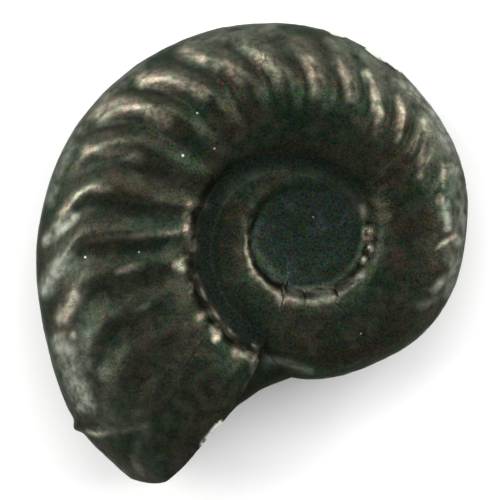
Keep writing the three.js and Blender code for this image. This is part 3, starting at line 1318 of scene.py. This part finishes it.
    def soft_at(self, angle: Array, radius: Array, broken: Array) -> Array:
        """How far each point is smoothed: wholly at a seam and in the filled basin.

        Args:
            angle: Angles along the shell, in degrees.
            radius: Distances from the coiling axis.
            broken: How far each point is inside the broken face.

        Returns:
            From 0, not at all, to 1.
        """
        coil = self.shell.coil
        seam_angle = self.seam_angle(angle)
        at_seam = hump(radius - coil.seam.at(seam_angle), self.seam_reach)
        at_seam *= (1.0 - smoothstep(seam_angle, *self.seam_hard)) * (broken <= 0.0)
        off_start = (angle - coil.start + TURN / 2) % TURN - TURN / 2
        at_start = hump(np.radians(off_start) * radius, self.start_reach)
        at_start *= 1.0 - smoothstep(radius, *self.start_hard)
        in_basin = 1.0 - smoothstep(radius, *self.basin_soft)
        return np.maximum(np.maximum(at_seam, at_start), in_basin)

    def levelled(self, points: Array, radius: Array, chosen: Array) -> Array:
        """Lays the filled basin of one flank on an even curved surface.

        Args:
            points: The points of the mesh.
            radius: How far each one is from the coiling axis.
            chosen: Which points are on this flank.

        Returns:
            The points, with those of the basin moved up or down.
        """
        x, y, level = points.T
        terms = np.stack([np.ones(len(x)), x, y, x * x, x * y, y * y], axis=-1)
        inside = chosen & (radius < self.basin_level)
        even = terms @ np.linalg.lstsq(terms[inside], level[inside], rcond=None)[0]
        low, high = self.basin_level - self.basin_blend, self.basin_level + self.basin_blend
        share = (1.0 - smoothstep(radius, low, high)) * chosen
        return np.stack([x, y, level + share * (even - level)], axis=-1)

    @staticmethod
    def read(data: bpy.types.bpy_prop_collection, name: str, width: int) -> Array:
        """Reads a property of every item of a mesh collection.

        Args:
            data: The collection.
            name: Name of the property.
            width: How many numbers each item has.

        Returns:
            A row of that many numbers for each item.
        """
        values = np.zeros(len(data) * width)
        data.foreach_get(name, values)
        return values.reshape(-1, width)

    @staticmethod
    def write(mesh: bpy.types.Mesh, points: Array) -> None:
        """Puts the mesh's points where they are to be."""
        mesh.vertices.foreach_set("co", np.ascontiguousarray(points).ravel())
        mesh.update()

    @staticmethod
    def fitted(points: Array) -> Array:
        """Keeps points inside the solid's box, by the little that the relief leaves it.

        Args:
            points: Points in the part's frame, in millimetres.

        Returns:
            The same points, stretched to fill the box.
        """
        low, high = (np.array(corner) / METRES for corner in SOLID_BOX)
        own_low, own_high = points.min(axis=0), points.max(axis=0)
        log.info("fitted by %s", np.round((high - low) / (own_high - own_low), 4))
        return low + (points - own_low) * (high - low) / (own_high - own_low)

    def bulge(self, mesh: bpy.types.Mesh, around: Surroundings, points: Array) -> Array:
        """How far each point stands out of its smoothed surroundings.

        Args:
            mesh: The carved mesh.
            around: The neighbours of its points.
            points: Its points, in millimetres.

        Returns:
            From -1 in a deep hollow to 1 on a sharp crest.
        """
        smooth = around.smoothed(points, self.curvature_passes, np.ones(len(points)))
        normals = self.read(mesh.vertex_normals, "vector", 3)
        return np.sum((points - smooth) * normals, axis=1) / self.curvature_height


@dataclass(frozen=True)
class Clouds:
    """Soft noise over the surface, stretched between two levels."""

    scale: float
    detail: float
    low: float
    high: float
    least: float = 0.0
    most: float = 1.0


class Recipe:
    """A material's node tree, with the kinds of node that the finish is mixed from."""

    def __init__(self, name: str) -> None:
        """Starts a material on object coordinates, in millimetres.

        Args:
            name: Name of the material.
        """
        self.material = bpy.data.materials.new(name)
        self.material.use_nodes = True
        self.tree = self.material.node_tree
        self.tree.nodes.clear()
        mapping = self.node("ShaderNodeMapping", Scale=(1.0 / METRES,) * 3)
        self.put(self.node("ShaderNodeTexCoord").outputs["Object"], mapping.inputs["Vector"])
        self.places = mapping.outputs["Vector"]

    def node(self, kind: str, **values: Value | str | bool) -> bpy.types.Node:
        """Adds a node.

        Args:
            kind: Blender's name for the kind of node.
            **values: Its settings, and values for its inputs.

        Returns:
            The node.
        """
        made = self.tree.nodes.new(kind)
        for name, value in values.items():
            if hasattr(made, name):
                setattr(made, name, value)
            else:
                self.put(value, made.inputs[name])
        return made

    def put(self, value: Value, socket: Socket) -> None:
        """Links an output to a socket, or sets a plain number or colour on it.

        Args:
            value: The output, number or colour.
            socket: The socket that takes it.
        """
        if isinstance(value, bpy.types.NodeSocket):
            self.tree.links.new(value, socket)
        elif socket.type == "RGBA":
            socket.default_value = (*value, 1.0)
        else:
            socket.default_value = value

    def noise(self, scale: float, detail: float) -> bpy.types.Node:
        """Noise of so many grains to a millimetre."""
        return self.node("ShaderNodeTexNoise", Vector=self.places, Scale=scale, Detail=detail)

    def clouds(self, kind: Clouds) -> Socket:
        """Noise of one kind, stretched between its levels."""
        made = self.noise(kind.scale, kind.detail).outputs["Fac"]
        return self.stretch(made, kind.low, kind.high, kind.least, kind.most)

    def stretch(
        self, value: Socket, low: float, high: float, least: float = 0.0, most: float = 1.0
    ) -> Socket:
        """Stretches a value between two levels, and clamps it.

        Args:
            value: The value.
            low: The level that becomes the least.
            high: The level that becomes the most.
            least: What it is at the low level.
            most: What it is at the high level.

        Returns:
            The stretched value.
        """
        made = self.node("ShaderNodeMapRange", clamp=True)
        for socket, item in zip(made.inputs, (value, low, high, least, most)):
            self.put(item, socket)
        return made.outputs[0]

    def maths(self, operation: str, one: Value, other: Value) -> Socket:
        """Works on two numbers.

        Args:
            operation: What is done with them.
            one: The first.
            other: The second.

        Returns:
            The result.
        """
        made = self.node("ShaderNodeMath", operation=operation)
        for socket, value in zip(made.inputs, (one, other)):
            self.put(value, socket)
        return made.outputs[0]

    def times(self, one: Value, other: Value) -> Socket:
        """Multiplies two numbers."""
        return self.maths("MULTIPLY", one, other)

    def greatest(self, one: Value, other: Value) -> Socket:
        """The greater of two numbers."""
        return self.maths("MAXIMUM", one, other)

    def mix(self, share: Socket, one: Value, other: Value) -> Socket:
        """Mixes two colours.

        Args:
            share: How much there is of the second.
            one: The first colour.
            other: The second.

        Returns:
            The mixed colour.
        """
        made = self.node("ShaderNodeMix", data_type="RGBA")
        self.put(share, made.inputs["Factor"])
        for name, colour in (("A", one), ("B", other)):
            socket = next(s for s in made.inputs if s.name == name and s.type == "RGBA")
            self.put(colour, socket)
        return next(s for s in made.outputs if s.type == "RGBA")

    def vector(self, operation: str, *values: Value, out: int = 0) -> Socket:
        """Works on vectors or colours.

        Args:
            operation: What is done with them.
            *values: The vectors.
            out: Which output has the result.

        Returns:
            The result.
        """
        made = self.node("ShaderNodeVectorMath", operation=operation)
        for socket, value in zip(made.inputs, values):
            self.put(value, socket)
        return made.outputs[out]

    def attribute(self, name: str) -> Socket:
        """A number that the mesh has for each point."""
        return self.node("ShaderNodeAttribute", attribute_name=name).outputs["Fac"]

    def noted(
        self, name: str, low: float, high: float, least: float = 0.0, most: float = 1.0
    ) -> Socket:
        """An attribute of the mesh, stretched between two levels."""
        return self.stretch(self.attribute(name), low, high, least, most)


@dataclass(frozen=True)
class PyriteFinish:
    """Dull greenish-brown pyrite with pale crust in places, brighter with real rubbing and painted
    highlights, darker with painted shade in hollows.
    """

    dark: Colour = (0.0105, 0.0205, 0.012)
    brown: Colour = (0.0215, 0.0195, 0.0125)
    # Painted shade colour for hollows, furrows and by the mouth.
    hollow: Colour = (0.007, 0.0105, 0.008)
    # Painted fill light: the lighter colour of the shaded seam wall.
    seam: Colour = (0.016, 0.0235, 0.0175)
    basin: Colour = (0.016, 0.0245, 0.0175)
    basin_pale: Colour = (0.028, 0.036, 0.038)
    # Pale colours of the warm shine: partly real rubbing, partly painted highlight.
    rubbed_and_sheen: Colour = (0.5, 0.4, 0.31)
    tarnished_sheen: Colour = (0.42, 0.44, 0.31)
    # Pale grey: partly real wear, partly painted reflection.
    worn: Colour = (0.32, 0.345, 0.275)
    # The crust colour, also used for the painted glints.
    crust: Colour = (0.52, 0.54, 0.46)
    line: Colour = (0.006, 0.007, 0.006)
    edge_tint: Colour = (0.5, 0.52, 0.5)
    tint_gain: Colour = (5.2, 3.8, 5.0)
    tint_shift: Colour = (-1.6, -0.9, -1.5)
    least_tint: Colour = (0.15, 0.15, 0.15)
    grain_scale: float = 8.0
    grain_detail: float = 3.0
    brown_clouds: Clouds = Clouds(0.45, 5.0, 0.38, 0.62)
    basin_clouds: Clouds = Clouds(1.0, 5.0, 0.52, 0.72)
    crest_clouds: Clouds = Clouds(1.4, 5.0, 0.4, 0.65, 0.0, 0.04)
    rub_and_sheen_clouds: Clouds = Clouds(1.3, 4.0, 0.32, 0.6, 0.45, 1.0)
    rub_and_sheen_grain: Clouds = Clouds(3.6, 4.0, 0.36, 0.56, 0.5, 1.05)
    tarnished_sheen_clouds: Clouds = Clouds(1.1, 3.0, 0.42, 0.62)
    worn_clouds: Clouds = Clouds(2.6, 5.0, 0.36, 0.6, 0.5, 1.0)
    crust_clouds: Clouds = Clouds(3.0, 3.0, 0.3, 0.5, 0.5, 1.0)
    gloss_clouds: Clouds = Clouds(2.2, 5.0, 0.3, 0.7, 0.3, 0.46)
    metallic: float = 0.95
    basin_edge: Stretch = (0.1, 0.9)
    painted_shade_levels: Stretch = (0.05, 0.8)
    painted_shade_share: float = 0.5
    crest_levels: Stretch = (0.2, 1.0)
    rub_and_sheen_share: float = 0.9
    worn_share: float = 0.75
    worn_dullness: float = 0.5
    crust_levels: Stretch = (0.25, 0.65)
    wall_dullness: tuple[float, float, float, float] = (0.2, 0.9, 0.3, 0.85)
    crack_levels: tuple[float, float, float, float] = (0.2, 0.9, 0.0, 0.9)
    bumps: tuple[tuple[float, float, float], ...] = ((9.0, 5.0, 0.00003), (2.6, 4.0, 0.00006))
    bump_strength: float = 0.5
    net_scale: float = 1.5
    net_bend: float = 0.12
    net_line: Stretch = (0.06, 0.02)
    net_share: float = 0.5
    # Painted glints: small bright highlights of pyrite facets.
    glint_share: float = 0.6
    glint_core: float = 0.3
    painted_glints: tuple[tuple[float, float, float], ...] = (
        (184, 157, 1.8), (198, 115, 1.3), (215, 150, 1.4), (88, 257, 1.5), (141, 252, 1.2),
        (360, 333, 1.3), (190, 236, 1.6), (368, 247, 1.8), (362, 259, 1.7), (313, 217, 1.0),
    )

    def build(self) -> bpy.types.Material:
        """Makes the material.

        Returns:
            The material, on object coordinates in millimetres and the mesh's own attributes.
        """
        work = Recipe("pyrite")
        grains = work.noise(self.grain_scale, self.grain_detail).outputs["Color"]
        colour = self.polished(work, self.ground(work, grains))
        # Grey patches: partly real wear, partly painted reflection.
        worn = work.times(work.attribute("worn"), work.clouds(self.worn_clouds))
        colour = work.mix(work.times(worn, self.worn_share), colour, self.worn)
        crust = work.times(work.attribute("crust"), work.clouds(self.crust_clouds))
        crust = work.stretch(crust, *self.crust_levels)
        colour = work.mix(crust, colour, self.crust)
        colour = self.marked(work, grains, colour)
        dull = work.greatest(crust, work.times(worn, self.worn_dullness))
        matt_wall = work.noted("seam", *self.wall_dullness)
        shader = work.node("ShaderNodeBsdfPrincipled")
        work.put(self.edge_tint, shader.inputs["Specular Tint"])
        work.put(colour, shader.inputs["Base Color"])
        metallic = work.stretch(dull, 0.0, 1.0, self.metallic, 0.0)
        work.put(metallic, shader.inputs["Metallic"])
        roughness = work.greatest(work.clouds(self.gloss_clouds), matt_wall)
        work.put(roughness, shader.inputs["Roughness"])
        normal = None
        for scale, detail, depth in self.bumps:
            bump = work.node("ShaderNodeBump", Strength=self.bump_strength, Distance=depth)
            work.put(work.noise(scale, detail).outputs["Fac"], bump.inputs["Height"])
            if normal:
                work.put(normal, bump.inputs["Normal"])
            normal = bump.outputs["Normal"]
        work.put(normal, shader.inputs["Normal"])
        work.node("ShaderNodeOutputMaterial", Surface=shader.outputs["BSDF"])
        return work.material

    def ground(self, work: Recipe, grains: Socket) -> Socket:
        """The dull colour of the pyrite with its coloured grain, with painted shade in hollows and
        painted fill light on the seam wall.

        Args:
            work: The node tree.
            grains: Fine coloured noise.

        Returns:
            The colour.
        """
        filled = work.mix(work.clouds(self.basin_clouds), self.basin, self.basin_pale)
        colour = work.mix(work.clouds(self.brown_clouds), self.dark, self.brown)
        colour = work.mix(work.noted("basin", *self.basin_edge), colour, filled)
        tint = work.vector("MULTIPLY_ADD", grains, self.tint_gain, self.tint_shift)
        colour = work.vector("MULTIPLY", colour, work.vector("MAXIMUM", tint, self.least_tint))
        # Painted shade in hollows, furrows and near the mouth.
        hollow = work.times(work.noted("hollow", *self.painted_shade_levels), self.painted_shade_share)
        colour = work.mix(hollow, colour, self.hollow)
        # Painted fill light: the seam wall is made lighter.
        return work.mix(work.attribute("seam"), colour, work.vector("MULTIPLY", self.seam, tint))

    def polished(self, work: Recipe, colour: Socket) -> Socket:
        """Brightens the colour where there is warm shine, partly real rubbing and partly painted
        highlight, and a little on sharp crests.

        Args:
            work: The node tree.
            colour: The colour so far.

        Returns:
            The colour.
        """
        crest = work.noted("wear", *self.crest_levels)
        crest = work.times(crest, work.clouds(self.crest_clouds))
        # Warm shine mask: partly real rubbing, partly painted highlight.
        rub_and_sheen = work.times(work.attribute("rub_and_sheen"), work.clouds(self.rub_and_sheen_clouds))
        rub_and_sheen = work.times(rub_and_sheen, work.clouds(self.rub_and_sheen_grain))
        pale = work.mix(work.clouds(self.tarnished_sheen_clouds), self.rubbed_and_sheen, self.tarnished_sheen)
        share = work.times(work.greatest(crest, rub_and_sheen), self.rub_and_sheen_share)
        return work.mix(share, colour, pale)

    def marked(self, work: Recipe, grains: Socket, colour: Socket) -> Socket:
        """Draws the hairlines, the cracks and the painted glints.

        Args:
            work: The node tree.
            grains: Fine coloured noise, which bends the hairlines.
            colour: The colour so far.

        Returns:
            The colour.
        """
        bent = work.vector("MULTIPLY", grains, (self.net_bend,) * 3)
        cells = work.node(
            "ShaderNodeTexVoronoi",
            feature="DISTANCE_TO_EDGE",
            Scale=self.net_scale,
            Vector=work.vector("ADD", work.places, bent),
        )
        hairline = work.stretch(cells.outputs["Distance"], *self.net_line)
        net = work.times(hairline, work.attribute("net"))
        colour = work.mix(work.times(net, self.net_share), colour, self.line)
        colour = work.mix(work.noted("crack", *self.crack_levels), colour, self.line)
        flat = work.vector("MULTIPLY", work.places, (1.0, 1.0, 0.0))
        # Painted glints: small bright highlights.
        for pixel_x, pixel_y, reach in self.painted_glints:
            middle = (*from_photo(pixel_x, pixel_y), 0.0)
            off = work.vector("DISTANCE", flat, middle, out=1)
            glint = work.stretch(off, reach * PIXEL, self.glint_core * reach * PIXEL)
            glint = work.times(glint, work.attribute("upper"))
            colour = work.mix(work.times(glint, self.glint_share), colour, self.crust)
        return colour


@dataclass
class Fossil:
    """The ammonite: its shell, carved and dressed."""

    shell: Shell = field(default_factory=Shell)
    finish: PyriteFinish = field(default_factory=PyriteFinish)
    piece_name: str = "pyrite_ammonite"

    def build(self) -> bpy.types.Object:
        """Makes the piece that stands for the solid.

        Returns:
            The finished object.
        """
        mesh = self.shell.join()
        Carving(self.shell).carve(mesh)
        mesh.vertices.foreach_set("co", Carving.read(mesh.vertices, "co", 3).ravel() * METRES)
        mesh.update()
        mesh.polygons.foreach_set("use_smooth", [True] * len(mesh.polygons))
        mesh.materials.append(self.finish.build())
        piece = bpy.data.objects.new(self.piece_name, mesh)
        bpy.context.scene.collection.objects.link(piece)
        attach(piece, BODY)
        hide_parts(NODE)
        triangles = sum(len(face.vertices) - 2 for face in mesh.polygons)
        log.info("%s: %d triangles", piece.name, triangles)
        return piece


@dataclass(frozen=True)
class Lamp:
    """A soft square lamp that looks at the fossil."""

    name: str
    azimuth: float
    elevation: float
    distance: float
    size: float
    power: float
    colour: Colour = (1.0, 0.99, 0.97)

    def build(self, target: Vector) -> None:
        """Hangs the lamp.

        Args:
            target: The point that it looks at.
        """
        data = bpy.data.lights.new(self.name, "AREA")
        data.shape = "SQUARE"
        data.size = self.size
        data.energy = self.power
        data.color = self.colour
        lamp = bpy.data.objects.new(self.name, data)
        turn, rise = math.radians(self.azimuth), math.radians(self.elevation)
        level = math.cos(rise)
        way = Vector((math.cos(turn) * level, math.sin(turn) * level, math.sin(rise)))
        lamp.location = target + way * self.distance
        lamp.rotation_euler = way.to_track_quat("Z", "Y").to_euler()
        bpy.context.scene.collection.objects.link(lamp)


@dataclass
class Studio:
    """The pale floor, the soft lamps and the camera that looks straight down."""

    lamps: tuple[Lamp, ...] = (
        Lamp("lamp_west", 158.0, 34.0, 0.4, 0.3, 1.25),
        Lamp("lamp_east", 24.0, 34.0, 0.4, 0.3, 1.05),
        Lamp("lamp_north", 88.0, 40.0, 0.4, 0.3, 0.6),
    )
    sky: Colour = (0.68, 0.69, 0.69)
    floor_half_size: float = 0.6
    floor_colour: Colour = (0.95, 0.95, 0.95)
    floor_roughness: float = 0.9
    lens: float = 250.0
    sensor: float = 36.0
    middle_height: float = 0.0038
    clip_range: float = 100.0

    def build(self) -> None:
        """Makes everything that isn't the fossil."""
        self.build_floor()
        target = Vector((0.0, 0.0, self.middle_height))
        for lamp in self.lamps:
            lamp.build(target)
        world = bpy.data.worlds.new("studio")
        world.use_nodes = True
        world.node_tree.nodes["Background"].inputs["Color"].default_value = (*self.sky, 1.0)
        bpy.context.scene.world = world
        bpy.context.scene.view_settings.view_transform = "Standard"
        self.build_camera()

    def build_floor(self) -> None:
        """Lays the floor that the fossil rests on."""
        made = bmesh.new()
        bmesh.ops.create_grid(made, x_segments=1, y_segments=1, size=self.floor_half_size)
        mesh = bpy.data.meshes.new("floor")
        made.to_mesh(mesh)
        made.free()
        material = bpy.data.materials.new("floor")
        material.use_nodes = True
        shader = material.node_tree.nodes["Principled BSDF"]
        shader.inputs["Base Color"].default_value = (*self.floor_colour, 1.0)
        shader.inputs["Roughness"].default_value = self.floor_roughness
        mesh.materials.append(material)
        floor = bpy.data.objects.new("floor", mesh)
        bpy.context.scene.collection.objects.link(floor)

    def build_camera(self) -> None:
        """Sets the camera over the middle of the photograph's frame."""
        data = bpy.data.cameras.new("camera")
        data.lens = self.lens
        data.sensor_width = self.sensor
        x, y = from_photo(PHOTO_SIZE[0] / 2, PHOTO_SIZE[1] / 2)
        distance = max(PHOTO_SIZE) * PIXEL * METRES * self.lens / self.sensor
        data.clip_start, data.clip_end = distance / self.clip_range, distance * self.clip_range
        camera = bpy.data.objects.new("camera", data)
        camera.location = (x * METRES, y * METRES, self.middle_height + distance)
        bpy.context.scene.collection.objects.link(camera)
        bpy.context.scene.camera = camera


def main() -> None:
    """Builds the fossil and the studio around it."""
    logging.basicConfig(level=logging.INFO, format="%(name)s: %(message)s")
    Fossil().build()
    Studio().build()
    log.info("studio built")


if __name__ == "__main__":
    main()
